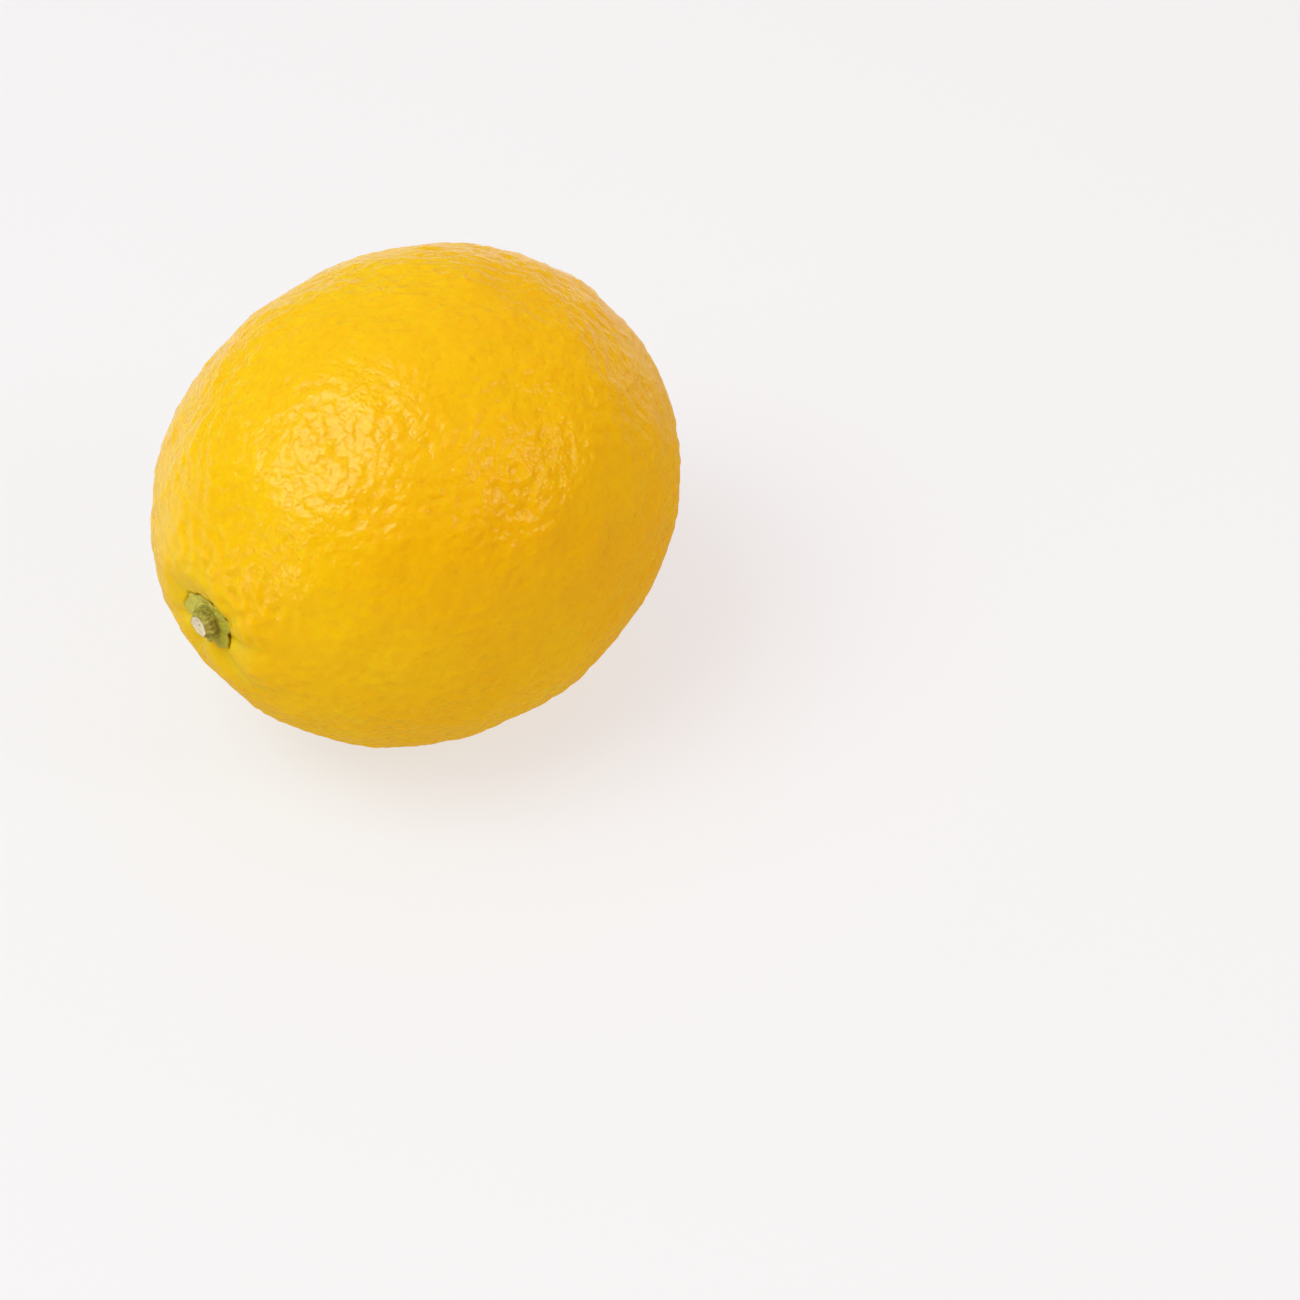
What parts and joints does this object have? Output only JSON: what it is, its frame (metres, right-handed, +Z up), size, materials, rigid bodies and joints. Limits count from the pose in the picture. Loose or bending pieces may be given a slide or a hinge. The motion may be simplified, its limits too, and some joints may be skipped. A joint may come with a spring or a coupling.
{
  "type": "lemon",
  "caption": "Whole ripe lemon lying on its side, with a pebbled yellow rind, a nipple at one end, and the green calyx with its clipped stem stub at the other.",
  "frame": {"origin": "on the surface that the fruit lies on, under the centre of its box", "axes": "+X runs along the fruit's long axis, from the stem end to the nipple end; +Z is up"},
  "size_m": [0.0748, 0.061, 0.0602],
  "materials": {
    "rind": "waxy yellow citrus rind with oil-gland pits, semi-gloss",
    "calyx": "matt yellow-green leafy tissue",
    "stem": "green stalk bark with a pale, dry cut face"
  },
  "bodies": {
    "root": {"fruit": "rind", "calyx": "calyx", "stem_stub": "stem"}
  },
  "joints": []
}
